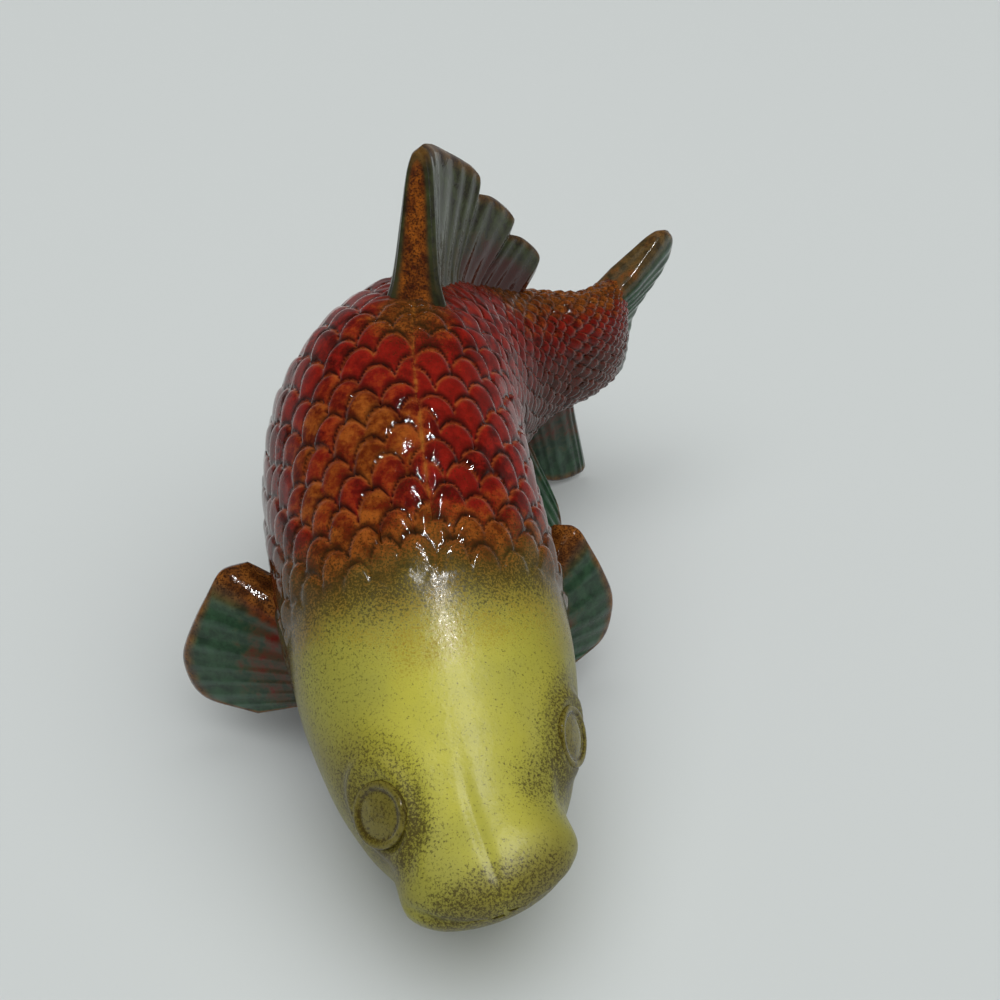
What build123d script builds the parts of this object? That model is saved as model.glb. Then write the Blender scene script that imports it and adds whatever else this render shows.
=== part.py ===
from build123d import *
from functools import cache
import math
import os

# Glazed earthenware fish, hollow, lying on a small flat foot under its belly.
# The body is two cast halves joined along the middle. Fins and eyes are clay pieces stuck on to it.
# Lengths are in millimetres and angles in degrees. Z is up and the fish faces -Y.
# Inside this file places on the fish are given by their distance along the body from the lips,
# and the whole fish is moved at the end, so that its origin is under its middle, on the table.

# Body
BODY_LENGTH = 203.0
BODY_HEIGHT = 77.5
BODY_WIDTH = 55.0
WALL = 4.5
VENT_RADIUS = 2.5
MOUTH_GAP = 1.6
MOUTH_DEPTH = 5.0

# Scales
SCALE_LIFT = 0.9
SCALE_STEP = 0.3

# Dorsal fin
DORSAL_LENGTH = 63.0
DORSAL_HEIGHT = 29.0
DORSAL_THICKNESS = 8.0
DORSAL_LEAN = -1.0

# Tail fin
TAIL_LENGTH = 24.0
TAIL_HEIGHT = 26.0
TAIL_THICKNESS = 9.5
TAIL_LEAN = 8.0
TAIL_TURN = 20.0

# Pectoral fins
PECTORAL_LENGTH = 23.0
PECTORAL_HEIGHT = 35.0
PECTORAL_REACH_LEFT = 16.5
PECTORAL_REACH_RIGHT = 20.0
PECTORAL_THICKNESS = 7.5

# Pelvic fins
PELVIC_LENGTH = 20.0
PELVIC_HEIGHT = 14.0
PELVIC_REACH = 9.0
PELVIC_THICKNESS = 4.5

# Anal fin
ANAL_LENGTH = 19.0
ANAL_SWEEP = 9.0
ANAL_THICKNESS = 5.0

# All fins: how deep a root starts inside the body, its flutes, its height above the table, and how far
# round the body the skin reaches that it is cut against
ROOT_DEPTH = 3.0
FLUTE_DEPTH = 0.5
FIN_CLEARANCE = 1.5
SEAT_ANGLE = 50.0

# Eyes
EYE_RADIUS = 5.3
EYE_HEIGHT = 1.1
EYE_SEAT = 2.5
EYE_ANGLE_LEFT = 74.0
EYE_ANGLE_RIGHT = 55.0
EYE_TILT = 15.0

# Where things start along the body, as shares of its length
EYE_LEFT_SHARE = 0.1175
EYE_RIGHT_SHARE = 0.087
SCALES_START_SHARE = 0.215
SCALES_END_SHARE = 0.928
PECTORAL_START_SHARE = 0.2815
VENT_SHARE = 0.454
DORSAL_START_SHARE = 0.5037
PELVIC_START_SHARE = 0.706
ANAL_START_SHARE = 0.805

# The middle of the body bends in arcs, each a share of the body's length with its turn towards +X.
HEADING = -20.0
SPINE_ARC_SHARES = [(0.15, 6.0), (0.297, 1.5), (0.418, 77.5), (0.135, -43.0)]

# Sections along the body: share of its length, then shares of its height for the back and the belly,
# of its half width, and of its height for the widest place, and last how far the back leans to +X.
SECTION_SHARES = [
    (0.000, 0.275, 0.225, 0.130, 0.245, -8),
    (0.007, 0.300, 0.200, 0.300, 0.245, -9),
    (0.018, 0.320, 0.170, 0.430, 0.245, -10),
    (0.035, 0.345, 0.130, 0.515, 0.245, -10),
    (0.065, 0.385, 0.075, 0.535, 0.245, -9),
    (0.100, 0.445, 0.030, 0.660, 0.265, -6),
    (0.150, 0.530, -0.010, 0.805, 0.310, -2),
    (0.220, 0.660, -0.020, 0.915, 0.375, 2),
    (0.300, 0.785, -0.025, 0.955, 0.440, 4),
    (0.400, 0.916, -0.025, 0.985, 0.490, 6),
    (0.500, 1.000, -0.025, 1.000, 0.520, 9),
    (0.600, 0.990, 0.010, 0.945, 0.540, 10),
    (0.700, 0.910, 0.110, 0.830, 0.540, 7),
    (0.785, 0.825, 0.265, 0.660, 0.545, 3),
    (0.870, 0.760, 0.345, 0.490, 0.550, 0),
    (0.940, 0.735, 0.365, 0.335, 0.550, 0),
    (1.000, 0.735, 0.370, 0.170, 0.550, 0),
]
HEAD_RING_SHARES = [0.0, 0.007, 0.018, 0.035, 0.065, 0.1, 0.14, 0.18]
CAVITY_RING_SHARES = [0.065, 0.1, 0.15, 0.22, 0.3, 0.4, 0.5, 0.6, 0.7, 0.785, 0.87, 0.93]
CAVITY_ANGLES = [0, 30, 60, 90, 120, 150, 180]

# A row of scales round one half of the body, from the middle of the back down to the plain belly.
# Widths and pitch are shares of the body's girth at that row, so scales get smaller towards the tail.
SCALES_IN_ROW = 9
STEPS_IN_SCALE = 4
BELLY_ANGLE = 144.0
BELLY_STEPS = 3
SCALE_PITCH_SHARE = 0.036
SCALE_REACH_SHARE = 0.019

# Dorsal fin rays: share of the base, share of the base by which the tip lies further back,
# share of the height, share of the thickness. The edge steps down behind each of three lobes.
DORSAL_RAY_SHARES = [
    (-0.02, 0.23, 0.80, 0.50),
    (0.00, 0.24, 0.95, 0.92),
    (0.05, 0.25, 0.97, 1.00),
    (0.10, 0.27, 0.95, 0.80),
    (0.20, 0.30, 0.86, 0.70),
    (0.29, 0.32, 0.77, 0.72),
    (0.37, 0.33, 0.67, 0.76),
    (0.40, 0.30, 0.52, 0.50),
    (0.47, 0.31, 0.52, 0.60),
    (0.55, 0.32, 0.48, 0.64),
    (0.63, 0.31, 0.41, 0.68),
    (0.66, 0.26, 0.29, 0.45),
    (0.74, 0.25, 0.30, 0.52),
    (0.83, 0.22, 0.29, 0.56),
    (0.93, 0.17, 0.25, 0.52),
    (1.00, 0.09, 0.15, 0.40),
]

# Tail fin rays, from the top lobe down to the bottom lobe: root height as a share of the body's end,
# tip length and height as shares of the tail's, and share of the thickness.
TAIL_RAY_SHARES = [
    (0.46, 0.45, 0.84, 0.70),
    (0.42, 0.74, 0.98, 1.00),
    (0.36, 0.95, 0.92, 1.00),
    (0.29, 1.01, 0.76, 0.92),
    (0.22, 0.92, 0.55, 0.84),
    (0.14, 0.70, 0.36, 0.78),
    (0.07, 0.50, 0.18, 0.72),
    (0.00, 0.42, 0.00, 0.68),
    (-0.08, 0.42, -0.20, 0.68),
    (-0.16, 0.44, -0.40, 0.70),
    (-0.24, 0.42, -0.58, 0.72),
    (-0.31, 0.32, -0.70, 0.66),
    (-0.36, 0.18, -0.74, 0.40),
]

# Rays of a paired fin. Root: share of the fin's length and angle down the skin. Tip: shares of the
# fin's length, of its height over the table and of its reach out of the skin. Last the thickness share.
# A pectoral fin goes from its thin low front edge round to its thick top edge.
PECTORAL_RAY_SHARES = [
    (0.00, 128, 0.30, 0.22, 0.30, 0.25),
    (0.06, 127, 0.55, 0.22, 0.75, 0.40),
    (0.14, 125, 0.64, 0.32, 0.95, 0.52),
    (0.24, 122, 0.68, 0.50, 1.00, 0.65),
    (0.36, 118, 0.72, 0.70, 0.86, 0.80),
    (0.50, 114, 0.78, 0.88, 0.66, 0.95),
    (0.66, 110, 0.86, 1.00, 0.48, 1.00),
    (0.84, 106, 0.96, 0.98, 0.22, 0.90),
]
PELVIC_RAY_SHARES = [
    (0.00, 138, 0.02, 0.50, 0.55, 0.60),
    (0.20, 142, 0.20, 0.25, 0.95, 0.90),
    (0.45, 146, 0.55, 0.20, 1.00, 1.00),
    (0.70, 150, 0.85, 0.25, 0.90, 0.90),
    (0.90, 154, 1.02, 0.50, 0.60, 0.70),
    (1.00, 158, 1.08, 0.75, 0.20, 0.50),
]

# The way that the broad face of a paired fin looks: shares back along the body, out and up.
PECTORAL_FACE_SHARES = (-0.80, 0.40, 0.50)
PELVIC_FACE_SHARES = (0.0, 0.70, 0.70)

# Anal fin rays, from front to back: share of the base, share of the sweep, share of the way down
# from the belly to the clearance over the table, share of the thickness.
ANAL_RAY_SHARES = [
    (0.00, 0.50, 0.55, 0.60),
    (0.20, 0.70, 0.85, 0.90),
    (0.40, 0.85, 0.97, 1.00),
    (0.70, 0.95, 1.00, 0.95),
    (0.90, 1.00, 1.00, 0.85),
    (1.00, 1.00, 0.95, 0.60),
]

# Shares along a ray where its thickness is set, from root to tip, and the thickness share there.
RAY_STATION_SHARES = [(0.0, 1.8), (0.22, 1.25), (0.6, 0.9), (0.94, 0.5)]

# Eye profile from the rim of the ring to its middle: shares of the radius and of the height.
EYE_PROFILE_SHARES = [(1.0, 0.45), (0.88, 0.85), (0.74, 0.75), (0.66, 0.6), (0.45, 0.9), (0.2, 1.0)]
EYE_SIDES = 14


def slope_between(before, after):
    """Slope at a section that keeps the curve from swinging past its neighbours."""
    if before * after <= 0:
        return 0.0
    return 2 * before * after / (before + after)


@cache
def section_at(place):
    """Back height, belly height, half width, widest height and lean of the body at a place along it."""
    share = min(max(place / BODY_LENGTH, 0.0), 1.0)
    last = len(SECTION_SHARES) - 1
    index = min(max(k for k in range(last + 1) if SECTION_SHARES[k][0] <= share), last - 1)
    near = [SECTION_SHARES[min(max(index + k, 0), last)] for k in (-1, 0, 1, 2)]
    width = near[2][0] - near[1][0]
    along = (share - near[1][0]) / width
    values = []
    for column in range(1, len(near[0])):
        rises = [(b[column] - a[column]) / ((b[0] - a[0]) or width) for a, b in zip(near, near[1:])]
        start = rises[1] if index == 0 else slope_between(rises[0], rises[1])
        end = rises[1] if index == last - 1 else slope_between(rises[1], rises[2])
        straight = near[1][column] + (near[2][column] - near[1][column]) * along
        bend_start = (start - rises[1]) * width * along * (1 - along) ** 2
        bend_end = (rises[1] - end) * width * along ** 2 * (1 - along)
        values.append(straight + bend_start + bend_end)
    back, belly, half, widest, lean = values
    return back * BODY_HEIGHT, belly * BODY_HEIGHT, half * BODY_WIDTH / 2, widest * BODY_HEIGHT, lean


def spine_at(place):
    """X, Y and heading of the middle of the body, in arcs that run on straight at both ends."""
    x, y, heading, left = 0.0, 0.0, HEADING, place
    for share, turn in SPINE_ARC_SHARES:
        length = share * BODY_LENGTH
        run = min(left, length)
        radius = length / math.radians(turn)
        start = math.radians(heading)
        end = math.radians(heading + turn * run / length)
        x += radius * (math.cos(start) - math.cos(end))
        y += radius * (math.sin(end) - math.sin(start))
        heading += turn * run / length
        left -= run
        if left <= 0:
            return x, y, heading
    heading_angle = math.radians(heading)
    return x + left * math.sin(heading_angle), y + left * math.cos(heading_angle), heading


def beside(place, out, height):
    """Point at a place along the body, out to the +X side of its middle and at a height."""
    x, y, heading = spine_at(place)
    angle = math.radians(heading)
    return Vector(x + out * math.cos(angle), y - out * math.sin(angle), height)


def ways_at(place):
    """Directions back along the body and out to its +X side."""
    angle = math.radians(spine_at(place)[2])
    return Vector(math.sin(angle), math.cos(angle), 0), Vector(math.cos(angle), -math.sin(angle), 0)


def skin_offset(side, place, angle, lift=0.0):
    """How far out of the middle and how high the skin is, lifted by an amount.

    The side is 1 for the fish's left, at +X, or -1 for its right, and the angle counts down from
    the middle of the back.
    """
    back, belly, half, widest, lean = section_at(place)
    turn = math.radians(angle)
    rise = back - widest if angle < 90 else widest - belly
    normal = Vector(math.sin(turn) / half, math.cos(turn) / rise).normalized()
    out = side * (half * math.sin(turn) + lift * normal.X)
    up = rise * math.cos(turn) + lift * normal.Y
    tilt = math.radians(lean)
    return out * math.cos(tilt) + up * math.sin(tilt), widest + up * math.cos(tilt) - out * math.sin(tilt)


def skin(side, place, angle, lift=0.0):
    """Point of the skin."""
    return beside(place, *skin_offset(side, place, angle, lift))


def girth_at(place):
    """Length of the skin once round the body."""
    back, belly, half, widest, lean = section_at(place)
    return math.pi * (half + (back - belly) / 2)


def faceted(rings):
    """Solid between rings of points, with flat triangles on the shorter way across each
    four-sided patch, closed at each end by a fan."""
    triangles = []
    for ring, following in zip(rings, rings[1:]):
        for i in range(len(ring)):
            j = (i + 1) % len(ring)
            if (following[j] - ring[i]).length < (following[i] - ring[j]).length:
                triangles.append((ring[i], ring[j], following[j]))
                triangles.append((ring[i], following[j], following[i]))
            else:
                triangles.append((ring[i], ring[j], following[i]))
                triangles.append((ring[j], following[j], following[i]))
    for ring in (rings[0], rings[-1]):
        middle = sum(ring, Vector()) / len(ring)
        for i in range(len(ring)):
            triangles.append((ring[i - 1], ring[i], middle))
    faces = [Face(Wire.make_polygon(triangle, close=True)) for triangle in triangles]
    return Solid(Shell(faces))


def largest(shape):
    return max(shape.solids(), key=lambda solid: solid.volume)


def half_angles():
    """Angles down one half of the body, a few to each scale and then down the plain belly."""
    steps = SCALES_IN_ROW * STEPS_IN_SCALE
    scaled = [BELLY_ANGLE * k / steps for k in range(steps)]
    plain = [BELLY_ANGLE + (180 - BELLY_ANGLE) * k / BELLY_STEPS for k in range(BELLY_STEPS + 1)]
    return scaled + plain


def plain_ring(side, place):
    return [skin(side, place, angle) for angle in half_angles()]


def scale_ring(side, place, row, lift, reach):
    """Free edge of a row of scales: each scale is lifted and reaches back in a half round."""
    points = []
    for k, angle in enumerate(half_angles()):
        from_middle = abs((k / STEPS_IN_SCALE + row / 2) % 1 - 0.5) * 2
        bulge = math.sqrt(1 - from_middle ** 2) if angle <= BELLY_ANGLE else 0.0
        points.append(skin(side, place + reach * bulge, angle, lift * bulge))
    return points


def scale_places():
    """Places of the rows of scales, closer together where the body is thinner."""
    places = []
    place = SCALES_START_SHARE * BODY_LENGTH
    while place < SCALES_END_SHARE * BODY_LENGTH:
        places.append(place)
        place += SCALE_PITCH_SHARE * girth_at(place)
    return places


@cache
def body_rings(side):
    """Rings of one half of the body, with the place of each."""
    rings = [(share * BODY_LENGTH, plain_ring(side, share * BODY_LENGTH)) for share in HEAD_RING_SHARES]
    for row, place in enumerate(scale_places()):
        reach = SCALE_REACH_SHARE * girth_at(place)
        rings.append((place, scale_ring(side, place, row, SCALE_LIFT, reach)))
        rings.append((place, scale_ring(side, place + SCALE_STEP, row, 0.0, reach)))
    rings.append((BODY_LENGTH, plain_ring(side, BODY_LENGTH)))
    return rings


def skin_patch(first, last, top, bottom):
    """Stretch of the skin on both sides of the body, as a solid that a fin is cut against.

    It lies between two places, and between two angles down from the middle of the back.
    """
    angles = half_angles()
    rings = []
    for (place, right), (_, left) in zip(body_rings(-1), body_rings(1)):
        if first <= place <= last:
            right_part = [point for point, angle in zip(right, angles) if top < angle < bottom]
            left_part = [point for point, angle in zip(left, angles) if top <= angle <= bottom]
            rings.append(right_part[::-1] + left_part)
    return faceted(rings)


def side_patch(side, first, last, top, bottom):
    """The same stretch on one side of the body only."""
    rings = []
    for place, ring in body_rings(side):
        if first <= place <= last:
            rings.append([point for point, angle in zip(ring, half_angles()) if top <= angle <= bottom])
    return faceted(rings)


def cavity():
    """Hollow inside the wall, one solid for both halves."""
    rings = []
    for share in CAVITY_RING_SHARES:
        place = share * BODY_LENGTH
        left = [skin(1, place, angle, -WALL) for angle in CAVITY_ANGLES]
        right = [skin(-1, place, angle, -WALL) for angle in CAVITY_ANGLES[1:-1]]
        ring = left + right[::-1]
        rings.append([Vector(point.X, point.Y, max(point.Z, WALL)) for point in ring])
    return faceted(rings)


def body_cuts():
    """What is cut away from both halves: the hollow, all under the table, the vent and the mouth."""
    under_table = Pos(0, 0, -BODY_WIDTH / 2) * Box(4 * BODY_WIDTH, 3 * BODY_LENGTH, BODY_WIDTH)
    vent = Pos(beside(VENT_SHARE * BODY_LENGTH, 0, 0)) * Cylinder(VENT_RADIUS, 4 * WALL)
    widest, lean = section_at(0)[3:]
    mouth_height = widest - MOUTH_GAP / 2
    mouth = Pos(0, 0, mouth_height) * Rot(0, lean, -HEADING) * Box(BODY_WIDTH, 2 * MOUTH_DEPTH, MOUTH_GAP)
    return [cavity(), under_table, vent, mouth]


def body_half(side):
    """One cast half of the hollow body, with its scales."""
    rings = [ring for place, ring in body_rings(side)]
    return largest(faceted(rings) - body_cuts())


def fin_ray(root, tip, across, thickness):
    """Ring round one ray of a fin, thinning from root to tip, with a rounded edge."""
    one_side = []
    other_side = []
    for along, share in RAY_STATION_SHARES:
        middle = root + (tip - root) * along
        one_side.append(middle + across * (thickness * share / 2))
        other_side.append(middle - across * (thickness * share / 2))
    return one_side + [tip] + other_side[::-1]


def fluted(index, thickness):
    """Thickness of a ray, less a flute at every other one."""
    return thickness - FLUTE_DEPTH * (index % 2)


def dorsal_fin():
    first = DORSAL_START_SHARE * BODY_LENGTH
    rays = []
    for index, (along, back, up, thick) in enumerate(DORSAL_RAY_SHARES):
        place = first + along * DORSAL_LENGTH
        out, crest = skin_offset(1, place, 0)
        height = up * DORSAL_HEIGHT
        out += height * math.tan(math.radians(DORSAL_LEAN))
        tip = beside(place + back * DORSAL_LENGTH, out, crest + height)
        root = skin(1, place, 0, -ROOT_DEPTH)
        rays.append(fin_ray(root, tip, ways_at(place)[1], fluted(index, thick * DORSAL_THICKNESS)))
    overrun = 2 * DORSAL_THICKNESS
    seat = skin_patch(first - overrun, first + DORSAL_LENGTH + overrun, 0, SEAT_ANGLE)
    return largest(faceted(rays) - seat)


def tail_fin():
    back, belly = section_at(BODY_LENGTH)[:2]
    end = beside(BODY_LENGTH, 0, (back + belly) / 2)
    turn = math.radians(spine_at(BODY_LENGTH)[2] + TAIL_TURN)
    lean = math.radians(TAIL_LEAN)
    onward = Vector(math.sin(turn), math.cos(turn), 0)
    level = Vector(math.cos(turn), -math.sin(turn), 0)
    up = level * math.sin(lean) + Vector(0, 0, math.cos(lean))
    across = level * math.cos(lean) - Vector(0, 0, math.sin(lean))
    rays = []
    for index, (start, length, height, thick) in enumerate(TAIL_RAY_SHARES):
        root = end - onward * ROOT_DEPTH + Vector(0, 0, start * (back - belly))
        tip = end + onward * (length * TAIL_LENGTH) + up * (height * TAIL_HEIGHT)
        rays.append(fin_ray(root, tip, across, fluted(index, thick * TAIL_THICKNESS)))
    seat = skin_patch(SCALES_END_SHARE * BODY_LENGTH - 2 * WALL, BODY_LENGTH, 0, 180)
    return largest(faceted(rays) - seat)


def paired_fin(side, rows, face, start_share, length, height, reach, thickness):
    """Fin on one side of the body, from a table of rays."""
    start = start_share * BODY_LENGTH
    rays = []
    for index, (root_along, angle, tip_along, up, out, thick) in enumerate(rows):
        root = skin(side, start + root_along * length, angle, -ROOT_DEPTH)
        place = start + tip_along * length
        half = section_at(place)[2]
        tip = beside(place, side * (half + out * reach), max(up * height, FIN_CLEARANCE))
        onward, sideways = ways_at(place)
        across = onward * face[0] + sideways * (side * face[1]) + Vector(0, 0, face[2])
        rays.append(fin_ray(root, tip, across.normalized(), fluted(index, thick * thickness)))
    seat = side_patch(side, start - length, start + 2 * length, SEAT_ANGLE, 180)
    return largest(faceted(rays) - seat)


def pectoral_fin(side):
    reach = PECTORAL_REACH_LEFT if side > 0 else PECTORAL_REACH_RIGHT
    return paired_fin(side, PECTORAL_RAY_SHARES, PECTORAL_FACE_SHARES, PECTORAL_START_SHARE,
                      PECTORAL_LENGTH, PECTORAL_HEIGHT, reach, PECTORAL_THICKNESS)


def pelvic_fin(side):
    return paired_fin(side, PELVIC_RAY_SHARES, PELVIC_FACE_SHARES, PELVIC_START_SHARE,
                      PELVIC_LENGTH, PELVIC_HEIGHT, PELVIC_REACH, PELVIC_THICKNESS)


def anal_fin():
    first = ANAL_START_SHARE * BODY_LENGTH
    rays = []
    for index, (along, back, down, thick) in enumerate(ANAL_RAY_SHARES):
        place = first + along * ANAL_LENGTH
        out, belly = skin_offset(1, place, 180)
        tip = beside(place + back * ANAL_SWEEP, out, belly + down * (FIN_CLEARANCE - belly))
        root = skin(1, place, 180, -ROOT_DEPTH)
        rays.append(fin_ray(root, tip, ways_at(place)[1], fluted(index, thick * ANAL_THICKNESS)))
    seat = skin_patch(first - ANAL_LENGTH, first + 2 * ANAL_LENGTH, 180 - SEAT_ANGLE, 180)
    return largest(faceted(rays) - seat)


def eye(side):
    """Raised eye: a ring round a domed disc, seated in the skin of the head."""
    place = (EYE_LEFT_SHARE if side > 0 else EYE_RIGHT_SHARE) * BODY_LENGTH
    angle = EYE_ANGLE_LEFT if side > 0 else EYE_ANGLE_RIGHT
    centre = skin(side, place, angle)
    onward = skin(side, place + EYE_RADIUS, angle) - skin(side, place - EYE_RADIUS, angle)
    downward = skin(side, place, angle + EYE_TILT) - skin(side, place, angle - EYE_TILT)
    outward = downward.cross(onward).normalized() * side
    along = onward.normalized()
    across = outward.cross(along)
    rings = []
    profile = [(share * EYE_RADIUS, height * EYE_HEIGHT) for share, height in EYE_PROFILE_SHARES]
    for radius, height in [(EYE_RADIUS, -EYE_SEAT)] + profile:
        ring = []
        for k in range(EYE_SIDES):
            turn = 2 * math.pi * k / EYE_SIDES
            spoke = along * math.cos(turn) + across * math.sin(turn)
            ring.append(centre + spoke * radius + outward * height)
        rings.append(ring)
    seat = side_patch(side, 0, 2 * place, angle - SEAT_ANGLE, angle + SEAT_ANGLE)
    return largest(faceted(rings) - seat)


def build():
    """All pieces by name, moved so that the origin is under the middle of the fish."""
    pieces = {
        "body_half_left": body_half(1),
        "body_half_right": body_half(-1),
        "dorsal_fin": dorsal_fin(),
        "tail_fin": tail_fin(),
        "pectoral_fin_left": pectoral_fin(1),
        "pectoral_fin_right": pectoral_fin(-1),
        "pelvic_fin_left": pelvic_fin(1),
        "pelvic_fin_right": pelvic_fin(-1),
        "anal_fin": anal_fin(),
        "eye_left": eye(1),
        "eye_right": eye(-1),
    }
    box = Compound(list(pieces.values())).bounding_box()
    middle = Pos(-box.center().X, -box.center().Y, -box.min.Z)
    print("lips moved to", middle.position)
    return {name: middle * piece for name, piece in pieces.items()}


os.makedirs("parts", exist_ok=True)
for name, piece in build().items():
    export_step(piece, f"parts/{name}.step")
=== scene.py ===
import math
import bpy
import numpy as np
from mathutils import Matrix, Vector


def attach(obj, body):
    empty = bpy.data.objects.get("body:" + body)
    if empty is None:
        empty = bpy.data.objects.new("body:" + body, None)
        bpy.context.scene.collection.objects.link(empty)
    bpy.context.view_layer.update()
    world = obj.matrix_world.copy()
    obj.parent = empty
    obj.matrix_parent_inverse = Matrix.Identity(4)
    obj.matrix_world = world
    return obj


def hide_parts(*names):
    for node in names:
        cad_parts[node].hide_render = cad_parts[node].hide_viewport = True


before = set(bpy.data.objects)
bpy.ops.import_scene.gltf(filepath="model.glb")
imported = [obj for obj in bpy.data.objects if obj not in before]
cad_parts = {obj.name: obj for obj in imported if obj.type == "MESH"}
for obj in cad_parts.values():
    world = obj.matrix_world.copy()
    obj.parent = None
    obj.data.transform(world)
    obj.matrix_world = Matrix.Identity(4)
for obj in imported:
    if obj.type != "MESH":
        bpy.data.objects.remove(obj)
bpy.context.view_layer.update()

# Glazed earthenware fish: the looks of every piece. Lengths are in metres, written as millimetres
# times MM, and angles are in degrees. Z is up and the fish faces -Y. The side is 1 for the fish's
# left, at +X, or -1 for its right. Places on the fish are distances along its body from the lips.
MM = 0.001

# Body
BODY_LENGTH = 203.0 * MM
BODY_HEIGHT = 77.5 * MM
BODY_WIDTH = 55.0 * MM
WALL = 4.5 * MM
VENT_RADIUS = 2.5 * MM
VENT_SIDES = 40
LIPS_X = 7.687 * MM
LIPS_Y = -96.326 * MM
MOUTH_GAP = 1.6 * MM
MOUTH_DEPTH = 5.0 * MM

# Relief of the head: how far it stands out, or in where it is less than zero
EYE_RIM_LIFT = 1.0 * MM
BROW_LIFT = 0.6 * MM
LIP_LIFT = 0.35 * MM
BEHIND_LIP_LIFT = -0.45 * MM
CREASE_LIFT = -0.35 * MM
MOUTH_LIFT = -1.2 * MM

# Scales and the seam of the mould. Within its reach the scales are rubbed lower
SCALE_LIFT = 1.4 * MM
SCALE_FADE = 4.0 * MM
SEAM_LIFT = 0.18 * MM
SEAM_WIDTH = 0.35 * MM
SEAM_REACH = 1.5 * MM
SCALE_PITCH_SHARE = 0.0265
SMOOTH_ANGLE = 55.0
MERGE_DISTANCE = 0.02 * MM
SCALES_IN_HALF = 14

# Clay smoothed out from the root of the dorsal fin, with flutes that run on from the fin
ROOT_SWELL = 0.9 * MM
ROOT_REACH = 7.0 * MM
ROOT_FLUTE = 0.25 * MM
ROOT_FLUTE_PITCH = 3.0 * MM

# Fins
DORSAL_LENGTH = 63.0 * MM
DORSAL_HEIGHT = 28.9 * MM
DORSAL_THICKNESS = 8.0 * MM
DORSAL_LEAN = -1.0
TAIL_LENGTH = 23.4 * MM
TAIL_HEIGHT = 26.0 * MM
TAIL_THICKNESS = 9.5 * MM
TAIL_LEAN = 8.0
TAIL_TURN = 20.0
PECTORAL_LENGTH = 23.0 * MM
PECTORAL_HEIGHT = 35.0 * MM
PECTORAL_REACH_LEFT = 16.5 * MM
PECTORAL_REACH_RIGHT = 19.9 * MM
PECTORAL_THICKNESS = 7.5 * MM
PELVIC_LENGTH = 20.0 * MM
PELVIC_HEIGHT = 14.0 * MM
PELVIC_REACH = 9.0 * MM
PELVIC_THICKNESS = 4.5 * MM
ANAL_LENGTH = 19.0 * MM
ANAL_SWEEP = 9.0 * MM
ANAL_THICKNESS = 5.0 * MM
ROOT_DEPTH = 3.0 * MM
FLUTE_DEPTH = 0.25 * MM
FIN_CLEARANCE = 1.5 * MM

# How many steps each fin is drawn in, from its first ray to its last, and over how many its corners
# are softened
DORSAL_STEPS = 240
TAIL_STEPS = 200
TAIL_SOFTENED = 15
PAIRED_STEPS = 180
PAIRED_SOFTENED = 31
ANAL_STEPS = 140
ANAL_SOFTENED = 23

# Eyes
EYE_RADIUS = 5.3 * MM
EYE_HEIGHT = 1.1 * MM
EYE_SEAT = 2.5 * MM
EYE_ANGLE_LEFT = 74.0
EYE_ANGLE_RIGHT = 55.0
EYE_TILT = 15.0
EYE_SIDES = 48

# Steps from the rim of an eye to its middle: share of the radius inwards, then share of the height up
EYE_STEP_SHARES = [(0.08, 0.25), (0.14, 0.0), (0.06, -0.45), (0.2, 0.3), (0.25, 0.15)]

# Glaze: how wide its clouds, mottles and specks are, and how deep its waves are. The specks are drawn
# about twice as coarse as the finest real ones, so that they show
CLOUD_SIZE = 14.0 * MM
MOTTLE_SIZE = 3.0 * MM
SPECK_SIZE = 0.42 * MM
GLAZE_WAVE = 0.12 * MM

# Where things start along the body, as shares of its length
EYE_LEFT_SHARE = 0.1175
EYE_RIGHT_SHARE = 0.087
SCALES_START_SHARE = 0.207
SCALES_DELAY_SHARE = 0.04
PECTORAL_START_SHARE = 0.2815
VENT_SHARE = 0.454
DORSAL_START_SHARE = 0.5037
PELVIC_START_SHARE = 0.706
ANAL_START_SHARE = 0.805

# The middle of the body bends in arcs, each a share of the body's length with its turn towards +X.
HEADING = -20.0
SPINE_ARC_SHARES = [(0.15, 6.0), (0.297, 1.5), (0.418, 77.5), (0.135, -43.0)]

# Sections along the body: share of its length, then shares of its height for the back and the belly,
# of its half width, and of its height for the widest place, and last how far the back leans to +X.
SECTION_SHARES = [
    (0.000, 0.275, 0.225, 0.130, 0.245, -8),
    (0.007, 0.300, 0.200, 0.300, 0.245, -9),
    (0.018, 0.320, 0.170, 0.430, 0.245, -10),
    (0.035, 0.345, 0.130, 0.515, 0.245, -10),
    (0.065, 0.385, 0.075, 0.535, 0.245, -9),
    (0.100, 0.445, 0.030, 0.660, 0.265, -6),
    (0.150, 0.530, -0.010, 0.805, 0.310, -2),
    (0.220, 0.660, -0.020, 0.915, 0.375, 2),
    (0.300, 0.785, -0.025, 0.955, 0.440, 4),
    (0.400, 0.916, -0.025, 0.985, 0.490, 6),
    (0.500, 1.000, -0.025, 1.000, 0.520, 9),
    (0.600, 0.990, 0.010, 0.945, 0.540, 10),
    (0.700, 0.910, 0.110, 0.830, 0.540, 7),
    (0.785, 0.825, 0.265, 0.660, 0.545, 3),
    (0.870, 0.760, 0.345, 0.490, 0.550, 0),
    (0.940, 0.735, 0.365, 0.335, 0.550, 0),
    (1.000, 0.735, 0.370, 0.170, 0.550, 0),
]

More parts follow.
